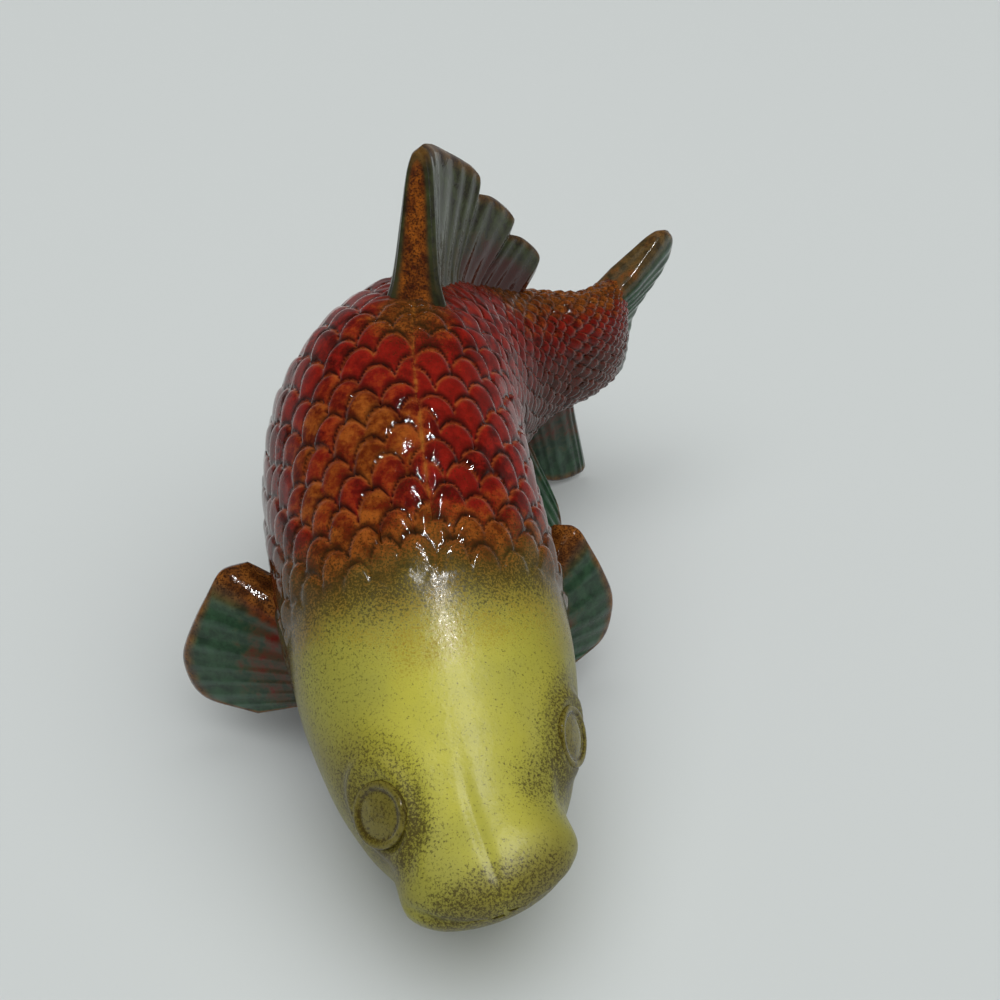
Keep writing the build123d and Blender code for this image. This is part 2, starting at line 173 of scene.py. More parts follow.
# Dorsal fin rays: share of the base, share of the base by which the tip lies further back,
# share of the height, share of the thickness. The edge steps down behind each of three lobes.
DORSAL_RAY_SHARES = [
    (-0.02, 0.23, 0.80, 0.50),
    (0.00, 0.24, 0.95, 0.92),
    (0.05, 0.25, 0.97, 1.00),
    (0.10, 0.27, 0.95, 0.80),
    (0.20, 0.30, 0.86, 0.70),
    (0.29, 0.32, 0.77, 0.72),
    (0.37, 0.33, 0.67, 0.76),
    (0.40, 0.30, 0.52, 0.50),
    (0.47, 0.31, 0.52, 0.60),
    (0.55, 0.32, 0.48, 0.64),
    (0.63, 0.31, 0.41, 0.68),
    (0.66, 0.26, 0.29, 0.45),
    (0.74, 0.25, 0.30, 0.52),
    (0.83, 0.22, 0.29, 0.56),
    (0.93, 0.17, 0.25, 0.52),
    (1.00, 0.09, 0.15, 0.40),
]

# Tail fin rays, from the top lobe down to the bottom lobe: root height as a share of the body's end,
# tip length and height as shares of the tail's, and share of the thickness.
TAIL_RAY_SHARES = [
    (0.46, 0.45, 0.84, 0.70),
    (0.42, 0.74, 0.98, 1.00),
    (0.36, 0.95, 0.92, 1.00),
    (0.29, 1.01, 0.76, 0.92),
    (0.22, 0.92, 0.55, 0.84),
    (0.14, 0.70, 0.36, 0.78),
    (0.07, 0.50, 0.18, 0.72),
    (0.00, 0.42, 0.00, 0.68),
    (-0.08, 0.42, -0.20, 0.68),
    (-0.16, 0.44, -0.40, 0.70),
    (-0.24, 0.42, -0.58, 0.72),
    (-0.31, 0.32, -0.70, 0.66),
    (-0.36, 0.18, -0.74, 0.40),
]

# Rays of a paired fin. Root: share of the fin's length and angle down the skin. Tip: shares of the
# fin's length, of its height over the table and of its reach out of the skin. Last the thickness share.
# A pectoral fin goes from its thin low front edge round to its thick top edge.
PECTORAL_RAY_SHARES = [
    (0.00, 128, 0.30, 0.22, 0.30, 0.25),
    (0.06, 127, 0.55, 0.22, 0.75, 0.40),
    (0.14, 125, 0.64, 0.32, 0.95, 0.52),
    (0.24, 122, 0.68, 0.50, 1.00, 0.65),
    (0.36, 118, 0.72, 0.70, 0.86, 0.80),
    (0.50, 114, 0.78, 0.88, 0.66, 0.95),
    (0.66, 110, 0.86, 1.00, 0.48, 1.00),
    (0.84, 106, 0.96, 0.98, 0.22, 0.90),
]
PELVIC_RAY_SHARES = [
    (0.00, 138, 0.02, 0.50, 0.55, 0.60),
    (0.20, 142, 0.20, 0.25, 0.95, 0.90),
    (0.45, 146, 0.55, 0.20, 1.00, 1.00),
    (0.70, 150, 0.85, 0.25, 0.90, 0.90),
    (0.90, 154, 1.02, 0.50, 0.60, 0.70),
    (1.00, 158, 1.08, 0.75, 0.20, 0.50),
]

# The way that the broad face of a paired fin looks: shares back along the body, out and up.
PECTORAL_FACE_SHARES = (-0.80, 0.40, 0.50)
PELVIC_FACE_SHARES = (0.0, 0.70, 0.70)

# Anal fin rays, from front to back: share of the base, share of the sweep, share of the way down
# from the belly to the clearance over the table, share of the thickness.
ANAL_RAY_SHARES = [
    (0.00, 0.50, 0.55, 0.60),
    (0.20, 0.70, 0.85, 0.90),
    (0.40, 0.85, 0.97, 1.00),
    (0.70, 0.95, 1.00, 0.95),
    (0.90, 1.00, 1.00, 0.85),
    (1.00, 1.00, 0.95, 0.60),
]

# Shares along a ray where its thickness is set, from root to tip, and the thickness share there.
RAY_STATION_SHARES = [(0.0, 1.8), (0.22, 1.25), (0.6, 0.9), (0.85, 0.68), (0.96, 0.42), (1.0, 0.0)]


def shaped(table, shares):
    """Columns of a table at values of its first one, on curves that don't swing past its rows."""
    table = np.asarray(table, float)
    steps = np.diff(table[:, 0])
    rises = np.diff(table[:, 1:], axis=0) / steps[:, None]
    product = rises[:-1] * rises[1:]
    total = np.where(product > 0, rises[:-1] + rises[1:], 1.0)
    inner = np.where(product > 0, 2 * product / total, 0.0)
    slopes = np.vstack([rises[:1], inner, rises[-1:]])
    shares = np.clip(np.asarray(shares, float), table[0, 0], table[-1, 0])
    index = np.clip(np.searchsorted(table[:, 0], shares, side="right") - 1, 0, len(steps) - 1)
    width = steps[index]
    along = (shares - table[index, 0]) / width
    columns = []
    for k in range(table.shape[1] - 1):
        start, end = table[index, k + 1], table[index + 1, k + 1]
        rise = rises[index, k]
        bend_start = (slopes[index, k] - rise) * width * along * (1 - along) ** 2
        bend_end = (rise - slopes[index + 1, k]) * width * along ** 2 * (1 - along)
        columns.append(start + (end - start) * along + bend_start + bend_end)
    return columns


def smooth(low, high, values):
    """0 below low, 1 above high and a smooth step between them."""
    share = np.clip((values - low) / (high - low), 0.0, 1.0)
    return share * share * (3 - 2 * share)


def hump(values, middle, width):
    """1 at the middle, falling smoothly to 0 about two widths away from it."""
    return np.exp(-((values - middle) / width) ** 2)


def section_at(place):
    """Back height, belly height, half width, widest height and lean of the body."""
    back, belly, half, widest, lean = shaped(SECTION_SHARES, place / BODY_LENGTH)
    return back * BODY_HEIGHT, belly * BODY_HEIGHT, half * BODY_WIDTH / 2, widest * BODY_HEIGHT, lean


def spine_at(place):
    """X, Y and heading of the middle of the body, in arcs that run on straight at the end."""
    place = np.asarray(place, float)
    x = np.full(place.shape, LIPS_X)
    y = np.full(place.shape, LIPS_Y)
    heading = np.full(place.shape, math.radians(HEADING))
    left = place.copy()
    for share, turn in SPINE_ARC_SHARES:
        length = share * BODY_LENGTH
        radius = length / math.radians(turn)
        run = np.clip(left, 0.0, length)
        end = heading + run / radius
        x += radius * (np.cos(heading) - np.cos(end))
        y += radius * (np.sin(end) - np.sin(heading))
        heading = end
        left -= run
    return x + left * np.sin(heading), y + left * np.cos(heading), heading


def beside(place, out, height):
    """Points at places along the body, out to the +X side of its middle and at a height."""
    x, y, heading = spine_at(place)
    return np.stack(np.broadcast_arrays(x + out * np.cos(heading), y - out * np.sin(heading), height), -1)


def ways_at(place):
    """Directions back along the body and out to its +X side."""
    heading = spine_at(place)[2]
    level = np.zeros_like(heading)
    onward = np.stack([np.sin(heading), np.cos(heading), level], -1)
    return onward, np.stack([np.cos(heading), -np.sin(heading), level], -1)


def skin_offset(side, place, angle, lift=0.0):
    """How far out of the middle and how high the skin is, at an angle down from the back."""
    back, belly, half, widest, lean = section_at(place)
    turn = np.radians(angle)
    rise = np.where(angle < 90, back - widest, widest - belly)
    normal_out, normal_up = np.sin(turn) / half, np.cos(turn) / rise
    size = np.hypot(normal_out, normal_up)
    out = side * (half * np.sin(turn) + lift * normal_out / size)
    up = rise * np.cos(turn) + lift * normal_up / size
    tilt = np.radians(lean)
    return out * np.cos(tilt) + up * np.sin(tilt), widest + up * np.cos(tilt) - out * np.sin(tilt)


def skin(side, place, angle, lift=0.0):
    """Points of the skin."""
    return beside(place, *skin_offset(side, place, angle, lift))


def girth_at(place):
    """Length of the skin once round the body."""
    back, belly, half = section_at(place)[:3]
    return math.pi * (half + (back - belly) / 2)


# Four random values for every scale, so that no two are quite alike
SCALE_CHANCES = np.random.default_rng(11).random((4, 97, 61))


def row_at(place):
    """Row of scales at places along the body, counted on as a whole and a part."""
    fine = np.linspace(0, BODY_LENGTH, 400)
    per_row = SCALE_PITCH_SHARE * girth_at(fine)
    rows = np.concatenate([[0.0], np.cumsum(np.diff(fine) / per_row[1:])])
    return np.interp(place, fine, rows)


def scale_at(side, row, column, whole):
    """How far a point lies inside the free edge of a scale, less than 0 past it, how far off its middle,
    and the random values of the scale."""
    number = column + whole * 0.5
    rows, columns = SCALE_CHANCES.shape[1:]
    chance = SCALE_CHANCES[:, whole % rows, (np.floor(number) * side).astype(int) % columns]
    off_middle = number - np.floor(number) - 0.5 + (chance[0] - 0.5) * 0.18
    reach = (0.98 + (chance[1] - 0.5) * 0.34) * np.sqrt(np.clip(1 - (1.9 * off_middle) ** 2, 0.0, 1.0))
    return whole + reach - row, off_middle, chance


def scale_relief(side, row, column):
    """Height share, distance inside the free edge, distance behind the scale that lies over it,
    and two chances, for overlapping scales whose free edges point to the tail."""
    first = np.floor(row).astype(int) - 1
    inside = np.full(row.shape, -1.0)
    off_middle = np.zeros(row.shape)
    behind = np.full(row.shape, 2.0)
    chances = np.zeros((2,) + row.shape)
    lift = np.zeros(row.shape)
    for step in range(4):
        within, off, chance = scale_at(side, row, column, first + step)
        taken = (inside < 0) & (within >= 0)
        behind = np.where(inside < 0, np.where(taken, behind, np.minimum(behind, -within)), behind)
        off_middle = np.where(taken, off, off_middle)
        lift = np.where(taken, 0.8 + 0.4 * chance[2], lift)
        chances = np.where(taken, chance[2:], chances)
        inside = np.where(taken, within, inside)
    edge = np.sqrt(1 - (1 - np.clip(inside / 0.34, 0.0, 1.0)) ** 2)
    slope = 1 - 0.72 * smooth(0.3, 1.7, inside)
    crown = 1 - 1.8 * off_middle ** 2
    return edge * slope * crown * lift, inside, behind, chances


def sheet(name, points, marks):
    """Closed clay skin: a grid whose vertices are moved to their places, and whose edges are sewn."""
    rows, columns = points.shape[:2]
    bpy.ops.object.select_all(action="DESELECT")
    bpy.ops.mesh.primitive_grid_add(x_subdivisions=rows - 1, y_subdivisions=columns - 1, size=1)
    piece = bpy.context.object
    piece.name = name
    mesh = piece.data
    flat = np.empty(len(mesh.vertices) * 3)
    mesh.vertices.foreach_get("co", flat)
    row = np.rint((flat[0::3] + 0.5) * (rows - 1)).astype(int)
    column = np.rint((flat[1::3] + 0.5) * (columns - 1)).astype(int)
    mesh.vertices.foreach_set("co", points[row, column].ravel())
    for mark, values in marks.items():
        layer = mesh.attributes.new(mark, "FLOAT", "POINT")
        layer.data.foreach_set("value", np.broadcast_to(values, (rows, columns))[row, column].ravel())
    bpy.ops.object.mode_set(mode="EDIT")
    bpy.ops.mesh.select_all(action="SELECT")
    bpy.ops.mesh.remove_doubles(threshold=MERGE_DISTANCE)
    bpy.ops.mesh.normals_make_consistent(inside=False)
    bpy.ops.object.mode_set(mode="OBJECT")
    bpy.ops.object.shade_smooth_by_angle(angle=math.radians(SMOOTH_ANGLE))
    return piece


def eye_of(side):
    """Place along the body and angle down the skin of the middle of an eye."""
    if side > 0:
        return EYE_LEFT_SHARE * BODY_LENGTH, EYE_ANGLE_LEFT
    return EYE_RIGHT_SHARE * BODY_LENGTH, EYE_ANGLE_RIGHT


def from_eye(side, place, angle):
    """Distance from the middle of the eye, and how far below it, on the skin."""
    eye_place, eye_angle = eye_of(side)
    below = np.radians(angle - eye_angle) * section_at(eye_place)[2]
    return np.hypot(place - eye_place, below), below


def head_relief(side, place, angle):
    """How far the skin of the head stands out or in round the eye, at the brow, the lips and the mouth."""
    away, below = from_eye(side, place, angle)
    rim = EYE_RIM_LIFT * hump(away, 1.1 * EYE_RADIUS, 0.3 * EYE_RADIUS)
    brow = BROW_LIFT * hump(away, 1.8 * EYE_RADIUS, 0.5 * EYE_RADIUS) * smooth(0, -EYE_RADIUS, below)
    lip = LIP_LIFT * hump(place, 1.2 * MOUTH_DEPTH, 0.6 * MOUTH_DEPTH) * hump(angle, 40, 35)
    behind_lip = BEHIND_LIP_LIFT * hump(place, 2.6 * MOUTH_DEPTH, 0.8 * MOUTH_DEPTH) * hump(angle, 65, 40)
    crease = CREASE_LIFT * hump(angle, 0, 4.0) * hump(place, 2 * MOUTH_DEPTH, 1.5 * MOUTH_DEPTH)
    drop = skin_offset(side, place, angle)[1] - section_at(place)[3] + MOUTH_GAP / 2
    mouth = MOUTH_LIFT * hump(drop, 0, 0.6 * MOUTH_GAP) * smooth(1.6 * MOUTH_DEPTH, 0.6 * MOUTH_DEPTH, place)
    return rim + brow + lip + behind_lip + crease + mouth


def body_marks(side, place, angle, down, inside, behind, chances):
    """Where each glaze lies on the skin, as in the photograph, and where light and shade are painted on it:
    shares from 0 to 1, but for the head's, which is how far a point lies in front of the first scales, in
    centimetres."""
    share = place / BODY_LENGTH
    turned = side * down
    border = SCALES_START_SHARE + SCALES_DELAY_SHARE * smooth(0.1, 0.4, down)
    first_rows = smooth(0.11, 0.02, share - border)
    beside_seam = smooth(0.04, -0.05, turned) * smooth(-0.42, -0.16, turned) * hump(share, 0.33, 0.1)
    root_of_tail = smooth(0.68, 0.80, share) * smooth(0.36, 0.06, down)
    root = hump(down * girth_at(place) / 2, 0, ROOT_REACH) * smooth(0.82, 0.76, share)
    root = root * smooth(DORSAL_START_SHARE - 0.03, DORSAL_START_SHARE + 0.01, share)
    before_dorsal = hump(share, DORSAL_START_SHARE - 0.035, 0.045) * smooth(0.14, 0.0, down)
    amber = np.maximum(np.maximum(0.8 * first_rows, 0.55 * beside_seam),
                       np.maximum(0.75 * root_of_tail, 0.8 * before_dorsal))
    away = from_eye(side, place, angle)[0]
    round_eye = hump(away, 1.2 * EYE_RADIUS, 0.8 * EYE_RADIUS)
    lips = smooth(1.4 * MOUTH_DEPTH, 0.3 * MOUTH_DEPTH, place)
    nostril = hump(place, 2.8 * MOUTH_DEPTH, 0.8 * MOUTH_DEPTH) * hump(down, 0.24, 0.09)
    cheek = smooth(0.15, 0.55, down) * smooth(0.02, 0.08, share)
    seam_rows = hump(share, border + 0.006, 0.02)
    speckle = np.clip(0.18 + 0.5 * round_eye + 0.6 * lips + 0.4 * nostril + 0.36 * cheek + 0.3 * seam_rows
                      + 0.5 * root_of_tail + 0.6 * before_dorsal + 0.4 * root
                      + 0.4 * first_rows * smooth(-0.07, 0.02, share - border), 0.0, 1.0)
    return {
        "head": np.clip((border - share) * BODY_LENGTH / (10 * MM), -2.0, 2.0),
        # Painted light and shade: the top of the head is painted yellow and its sides olive
        "lit_ridge": smooth(0.42, 0.02, down) * (1 - 0.7 * lips),
        "amber": np.clip(amber + 0.45 * (chances[1] - 0.5), 0.0, 1.0),
        # Painted shade and sheen: darker red down the flanks and over the rear, greyish-pink scale edges
        # there
        "flank_shade_and_sheen": np.maximum(smooth(0.18, 0.5, down),
                            0.2 * smooth(0.6, 0.75, share) * smooth(0.05, 0.2, down)),
        "rim": smooth(0.3, 0.03, inside) * smooth(-0.05, 0.0, inside),
        # Pooled glaze between the scales, darkened further as painted shade in the recesses
        "pooled_glaze_and_shade": smooth(0.36, 0.0, behind) * smooth(0.95, 0.6, down),
        "root": root,
        "shade": chances[0],
        "speckle": speckle,
        "seam": hump(down * girth_at(place) / 2, 0, SEAM_WIDTH) * smooth(0.24, 0.3, share),
    }


def body_half(side):
    """One cast half of the hollow body: mouth, head, scales and tail root outside, plain wall inside."""
    rings, columns, inner_columns = 400, 214, 16
    place = np.linspace(0, BODY_LENGTH, rings)[:, None]
    fine = np.linspace(0, 180, 500)
    angle = np.empty((rings, columns))
    for ring in range(rings):
        out, up = skin_offset(side, place[ring], fine)
        steps = np.hypot(np.diff(out), np.diff(up))
        length = np.concatenate([[0.0], np.cumsum(steps)])
        angle[ring] = np.interp(np.linspace(0, length[-1], columns), length, fine)
    down = np.broadcast_to(np.linspace(0, 1, columns), (rings, columns))
    # Rows that wander a little, as drawn by hand
    row = row_at(place) + 0.3 * np.sin(down * 8 + side) + 0.1 * np.sin(down * 31 + place / (6 * MM))
    height, inside, behind, chances = scale_relief(side, row, down * SCALES_IN_HALF)

    start = (SCALES_START_SHARE + SCALES_DELAY_SHARE * smooth(0.1, 0.4, down)) * BODY_LENGTH
    scaled = smooth(start, start + SCALE_FADE, place) * smooth(0.90, 0.78, down)
    marks = body_marks(side, place, angle, down, inside, behind, chances)
    beside_seam = smooth(0.0, SEAM_REACH, down * girth_at(place) / 2)
    scaled = scaled * (1 - 0.85 * marks["root"]) * (0.4 + 0.6 * beside_seam)
    flutes = ROOT_FLUTE * np.cos(2 * math.pi * place / ROOT_FLUTE_PITCH)
    lift = SCALE_LIFT * (height - 0.3) * scaled + head_relief(side, place, angle) + SEAM_LIFT * marks["seam"]
    lift = lift + marks["root"] * (ROOT_SWELL + flutes)
    outer = skin(side, place, angle, lift)
    marks["rim"] *= scaled
    marks["pooled_glaze_and_shade"] *= scaled

    # Plain wall inside, closed at both ends
    inner_angle = np.linspace(180, 0, inner_columns)
    wall = skin(side, place, inner_angle, -WALL)
    wall[..., 2] = np.maximum(wall[..., 2], WALL)
    middle_up = skin_offset(side, place, inner_angle, -0.3 * WALL)[1]
    middle = beside(place, np.tan(np.radians(section_at(place)[4])) * (middle_up - section_at(place)[3]),
                    middle_up)
    hollow = (smooth(0.05, 0.09, place / BODY_LENGTH) * smooth(0.95, 0.9, place / BODY_LENGTH))[..., None]
    inner = middle + (wall - middle) * hollow

    # Skin and wall in one loop, flat where it stands, with the mouth in front and a closed end
    loop = np.concatenate([outer, inner, outer[:, :1]], axis=1)
    loop[..., 2] = np.maximum(loop[..., 2], 0.0)
    first = loop[:1].mean(axis=1, keepdims=True)
    last = loop[-1:].mean(axis=1, keepdims=True)
    inward = ways_at(np.array(0.0))[0] * MOUTH_DEPTH
    slit = (loop[:1] - first) * (0.8, 0.8, 0.15)
    mouth = first - (0.0, 0.0, MOUTH_GAP / 2)
    points = np.concatenate([np.broadcast_to(mouth + inward, loop[:1].shape), mouth + 0.7 * slit + inward,
                             mouth + slit, loop, np.broadcast_to(last, loop[:1].shape)])

    def ringed(values, plain):
        """Values on the outer skin and a plain one inside the wall, repeated for the mouth and the end."""
        full = np.full((rings, columns + inner_columns + 1), plain, float)
        full[:, :columns] = values
        full[:, -1:] = full[:, :1]
        return np.concatenate([full[:1]] * 3 + [full, full[-1:]])

    all_marks = {name: ringed(values, 0.0) for name, values in marks.items()}
    all_marks["head"][:4] = 2.0
    all_marks["bare"] = ringed(outer[..., 2] <= 0, 1.0)
    all_marks["bare"][:4] = 0.0
    all_marks["bare"][-2:] = 0.0
    name = "body_left" if side > 0 else "body_right"
    piece = sheet(name, points, all_marks)
    cut_vent(piece)
    return piece


def cut_vent(piece):
    """Cuts the vent hole through the foot of a body half."""
    bpy.ops.object.select_all(action="DESELECT")
    centre = beside(np.array(VENT_SHARE * BODY_LENGTH), 0.0, 0.0)
    bpy.ops.mesh.primitive_cylinder_add(vertices=VENT_SIDES, radius=VENT_RADIUS, depth=4 * WALL,
                                        location=centre)
    cutter = bpy.context.object
    cut = piece.modifiers.new("vent", "BOOLEAN")
    cut.operation = "DIFFERENCE"
    cut.object = cutter
    bpy.context.view_layer.objects.active = piece
    bpy.ops.object.modifier_apply(modifier=cut.name)
    bpy.data.objects.remove(cutter)


def fin_sheet(name, root, tip, across, thickness, flutes, rounded, flare, browned, band, warm):
    """Fin from its rays: a thin body with rounded ends and edge, fluted along the rays. The band is its
    thick edge of another colour, browned says how brown its other edges are, and warm is where the red of
    the body runs on to it. The flare is the most by which its root may be thicker."""
    count = len(root)
    share = np.linspace(0, 1, count)
    stations = 1 - (1 - np.linspace(0, 1, 30)) ** 1.5
    taper = np.minimum(shaped(RAY_STATION_SHARES, stations)[0], flare)
    ends = np.minimum(share, 1 - share) / rounded
    round_end = np.sqrt(1 - (1 - np.clip(ends, 0.0, 1.0)) ** 2)
    half = thickness[:, None] / 2 * taper[None, :] * round_end[:, None]
    wave = 0.5 - 0.5 * np.cos(2 * math.pi * flutes * (share + 0.012 * np.sin(17 * share)))
    fluted = FLUTE_DEPTH * wave[:, None] * smooth(0.0, 0.15, stations) * smooth(1.0, 0.9, stations)
    half = np.maximum(half - fluted * round_end[:, None] * (1 - 0.8 * band[:, None]), 0.25 * half)
    middle = root[:, None] + (tip - root)[:, None] * stations[None, :, None]
    offset = across[:, None] * half[..., None]
    loop = np.concatenate([middle + offset, (middle - offset)[:, ::-1], (middle + offset)[:, :1]], axis=1)
    out = np.concatenate([stations, stations[::-1], stations[:1]])
    tips = np.maximum(smooth(0.87, 0.97, out)[None, :],
                      (1 - band[:, None]) * smooth(0.45, 0.1, ends)[:, None])
    marks = {
        "groove": wave[:, None],
        "band": band[:, None],
        "warm": warm[:, None] * smooth(1.05, 0.25, out)[None, :],
        "brown": 0.75 * browned * tips,
    }
    return sheet(name, loop, marks)


def rays_of(table, count):
    """Columns of a table of rays at even steps over its rows."""
    rows = [(index,) + tuple(row) for index, row in enumerate(table)]
    return shaped(rows, np.linspace(0, len(table) - 1, count))


def softened(values, width):
    """Values along a row, each the weighted mean of an odd number of them, so that no corner is left."""
    window = np.hanning(width + 2)[1:-1]
    padded = np.pad(values, width // 2, "edge")
    return np.convolve(padded, window / window.sum(), "valid")


def dorsal_fin():
    """Fin on the back, with a thick front edge and three lobes."""
    along, back, up, thick = rays_of(DORSAL_RAY_SHARES, DORSAL_STEPS)
    place = DORSAL_START_SHARE * BODY_LENGTH + along * DORSAL_LENGTH
    out, crest = skin_offset(1, place, 0.0)
    height = up * DORSAL_HEIGHT
    tip = beside(place + back * DORSAL_LENGTH, out + height * math.tan(math.radians(DORSAL_LEAN)),
                 crest + height)
    root = skin(1, place, 0.0, -ROOT_DEPTH)
    band = smooth(0.05, 0.02, np.linspace(0, 1, len(along)))
    warm = 0.4 + 0.6 * smooth(0.3, 0.7, along)
    return fin_sheet("fin_dorsal", root, tip, ways_at(place)[1], thick * DORSAL_THICKNESS, flutes=17,
                     rounded=0.1, flare=1.8, browned=0.4, band=band, warm=warm)


def tail_fin():
    """Forked fin at the end of the body, turned and leaning."""
    columns = [softened(values, TAIL_SOFTENED) for values in rays_of(TAIL_RAY_SHARES, TAIL_STEPS)]
    start, length, height, thick = columns
    back, belly = [float(value) for value in section_at(np.array(BODY_LENGTH))[:2]]
    end = beside(np.array(BODY_LENGTH), 0.0, (back + belly) / 2)
    turn = float(spine_at(BODY_LENGTH)[2]) + math.radians(TAIL_TURN)
    lean = math.radians(TAIL_LEAN)
    onward = np.array([math.sin(turn), math.cos(turn), 0.0])
    level = np.array([math.cos(turn), -math.sin(turn), 0.0])
    upright = np.array([0.0, 0.0, 1.0])
    up = level * math.sin(lean) + upright * math.cos(lean)
    across = level * math.cos(lean) - upright * math.sin(lean)
    root = end - onward * ROOT_DEPTH + upright * (start * (back - belly))[:, None]
    tip = end + onward * (length * TAIL_LENGTH)[:, None] + up * (height * TAIL_HEIGHT)[:, None]
    sideways = np.broadcast_to(across, root.shape)
    band = 0.45 * smooth(0.32, 0.42, start)
    warm = 0.4 * smooth(0.2, 0.4, start)
    return fin_sheet("fin_tail", root, tip, sideways, thick * TAIL_THICKNESS, flutes=15, rounded=0.26,
                     flare=1.15, browned=0.8, band=band, warm=warm)


def paired_fin(name, side, rows, face, start_share, length, height, reach, thickness, flutes, band):
    """Pectoral or pelvic fin, whose broad face looks along three shares: back, out and up. The band is
    where its thick edge starts and is full, as shares of its rays."""
    columns = [softened(values, PAIRED_SOFTENED) for values in rays_of(rows, PAIRED_STEPS)]
    root_along, angle, tip_along, up, out, thick = columns
    start = start_share * BODY_LENGTH
    root = skin(side, start + root_along * length, angle, -ROOT_DEPTH)
    place = start + tip_along * length
    half = section_at(place)[2]
    tip = beside(place, side * (half + out * reach), np.maximum(up * height, FIN_CLEARANCE))
    onward, sideways = ways_at(place)
    across = onward * face[0] + sideways * (side * face[1]) + np.array([0.0, 0.0, face[2]])
    across /= np.linalg.norm(across, axis=1, keepdims=True)
    share = np.linspace(0, 1, len(root))
    strip = smooth(band[0], band[1], share)
    warm = 0.5 + 0.4 * strip
    return fin_sheet(name, root, tip, across, thick * thickness, flutes, rounded=0.08, flare=1.8,
                     browned=1.0, band=strip, warm=warm)


def anal_fin():
    """Fin under the narrow part of the body, swept back."""
    columns = [softened(values, ANAL_SOFTENED) for values in rays_of(ANAL_RAY_SHARES, ANAL_STEPS)]
    along, back, down, thick = columns
    place = ANAL_START_SHARE * BODY_LENGTH + along * ANAL_LENGTH
    out, belly = skin_offset(1, place, 180.0)
    tip = beside(place + back * ANAL_SWEEP, out, belly + down * (FIN_CLEARANCE - belly))
    root = skin(1, place, 180.0, -ROOT_DEPTH)
    band = smooth(0.12, 0.0, along)
    warm = 0.5 + 0.5 * band
    return fin_sheet("fin_anal", root, tip, ways_at(place)[1], thick * ANAL_THICKNESS, flutes=8,
                     rounded=0.08, flare=1.8, browned=0.8, band=band, warm=warm)


def eye(side):
    """Raised eye: a disc with a rounded ring pressed on to the head."""
    place, angle = eye_of(side)
    place = np.array(place)
    centre = Vector(skin(side, place, angle))
    along = Vector(skin(side, place + EYE_RADIUS, angle) - skin(side, place - EYE_RADIUS, angle)).normalized()
    down = Vector(skin(side, place, angle + EYE_TILT) - skin(side, place, angle - EYE_TILT))
    outward = down.cross(along).normalized() * side
    turned = Matrix((along, outward.cross(along), outward)).transposed().to_4x4()
    bpy.ops.object.select_all(action="DESELECT")
    bpy.ops.mesh.primitive_cylinder_add(vertices=EYE_SIDES, radius=EYE_RADIUS,
                                        depth=EYE_SEAT + 0.6 * EYE_HEIGHT)
    piece = bpy.context.object
    piece.name = "eye_disc_left" if side > 0 else "eye_disc_right"
    piece.data.transform(Matrix.Translation((0, 0, (0.6 * EYE_HEIGHT - EYE_SEAT) / 2)))
    bpy.ops.object.mode_set(mode="EDIT")
    bpy.ops.mesh.select_mode(type="FACE")
    bpy.ops.mesh.select_all(action="DESELECT")
    bpy.ops.object.mode_set(mode="OBJECT")
    for face in piece.data.polygons:
        face.select = face.normal.z > 0.9
    bpy.ops.object.mode_set(mode="EDIT")
    for inwards, up in EYE_STEP_SHARES:
        bpy.ops.mesh.inset(thickness=inwards * EYE_RADIUS)
        bpy.ops.transform.translate(value=(0, 0, up * EYE_HEIGHT))
    bpy.ops.mesh.select_all(action="SELECT")
    bpy.ops.mesh.quads_convert_to_tris()
    bpy.ops.mesh.tris_convert_to_quads()
    bpy.ops.mesh.normals_make_consistent(inside=False)
    bpy.ops.object.mode_set(mode="OBJECT")
    rounding = piece.modifiers.new("rounding", "SUBSURF")
    rounding.levels = rounding.render_levels = 2
    bpy.ops.object.modifier_apply(modifier=rounding.name)
    bpy.ops.object.shade_smooth()
    groove = piece.data.attributes.new("groove", "FLOAT", "POINT")
    for point, value in zip(piece.data.vertices, groove.data):
        from_middle = point.co.xy.length / EYE_RADIUS
        value.value = max(hump(from_middle, 0.72, 0.06), smooth(0.93, 1.0, from_middle))
    piece.data.transform(Matrix.Translation(centre) @ turned)
    return piece


def colour(text):
    """Linear colour from an sRGB hex value."""
    channels = [int(text[k:k + 2], 16) / 255 for k in (1, 3, 5)]
    return [c / 12.92 if c <= 0.04045 else ((c + 0.055) / 1.055) ** 2.4 for c in channels] + [1.0]


def node(tree, kind, inputs, output=0, **settings):
    """Adds a node with its settings and links, and returns one of its outputs, if it has any."""
    added = tree.nodes.new(kind)
    for key, value in settings.items():
        setattr(added, key, value)
    for key, value in inputs.items():
        if isinstance(value, bpy.types.NodeSocket):
            tree.links.new(value, added.inputs[key])
        else:
            added.inputs[key].default_value = value
    return added.outputs[output] if added.outputs else None


def new_material(name):
    """Empty material, and the tree that its nodes go into."""
    material = bpy.data.materials.new(name)
    material.use_nodes = True
    material.node_tree.nodes.clear()
    return material, material.node_tree


def glaze_patterns(tree):
    """The three patterns that brushed glaze shows: clouds where it lies thicker, mottles where it ran,
    and specks of metal oxide."""
    place = node(tree, "ShaderNodeTexCoord", {}, "Object")
    sizes = ((CLOUD_SIZE, 3.0, 0.5), (MOTTLE_SIZE, 4.0, 0.65), (SPECK_SIZE, 3.0, 0.75))
    return [node(tree, "ShaderNodeTexNoise", {"Vector": place, "Scale": 1 / size, "Detail": detail,
                                              "Roughness": rough}) for size, detail, rough in sizes]


def finish_glaze(tree, base, height, roughness):
    """Glassy coat, with the slight waves that are left in it after firing."""
    bumped = node(tree, "ShaderNodeBump", {"Height": height, "Strength": 1.0, "Distance": GLAZE_WAVE})
    inputs = {"Base Color": base, "Normal": bumped, "IOR": 1.5, "Specular IOR Level": 0.36,
              "Roughness": roughness}
    shader = node(tree, "ShaderNodeBsdfPrincipled", inputs)
    node(tree, "ShaderNodeOutputMaterial", {"Surface": shader})


